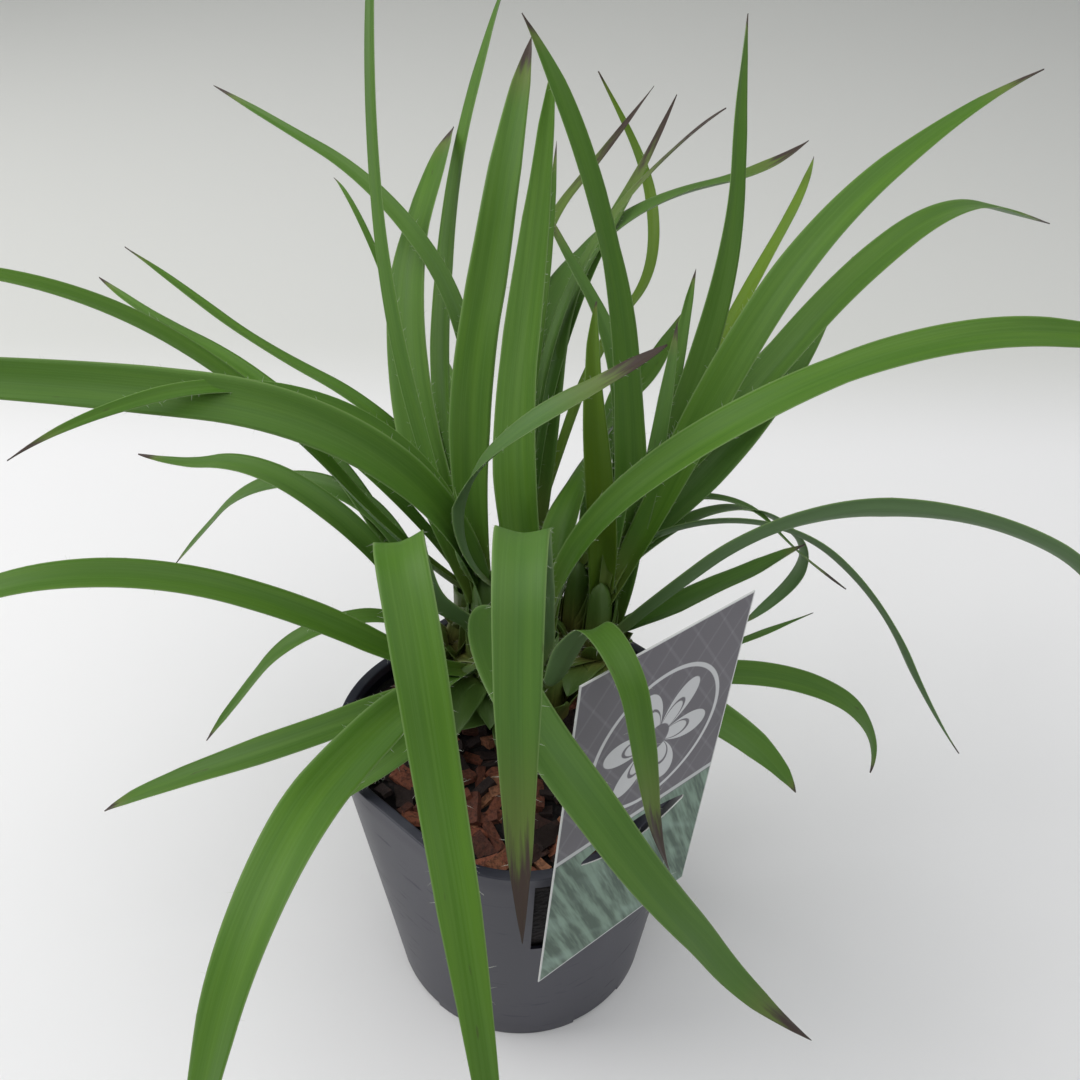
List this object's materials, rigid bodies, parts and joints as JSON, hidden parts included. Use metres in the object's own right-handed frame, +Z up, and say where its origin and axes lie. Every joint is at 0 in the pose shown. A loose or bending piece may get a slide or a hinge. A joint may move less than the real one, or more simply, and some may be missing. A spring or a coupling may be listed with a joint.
{
  "type": "potted greater woodrush",
  "caption": "Grassy rush with broad arching blades in tufts, in a grey square-round nursery pot mulched with bark, with a plant label hung on the rim.",
  "frame": {"origin": "middle of the pot's foot, on the surface that it stands on", "axes": "+Z up along the pot, -Y towards the viewer of the label side"},
  "size_m": [0.5578, 0.5131, 0.4508],
  "materials": {
    "pot": "satin, slightly mottled blue-grey",
    "soil": "dark crumbly potting soil",
    "bark": "rough reddish bark chips",
    "leaf": "smooth green blades with fine parallel veins",
    "label": "printed card, satin"
  },
  "bodies": {
    "root": {"pot": "pot", "soil": "soil", "bark_mulch": "bark", "shoot_front": "leaf", "shoot_front_left": "leaf", "shoot_left": "leaf", "shoot_right": "leaf", "shoot_back_right": "leaf", "shoot_back": "leaf", "shoot_back_left": "leaf", "label": "label"}
  },
  "joints": []
}
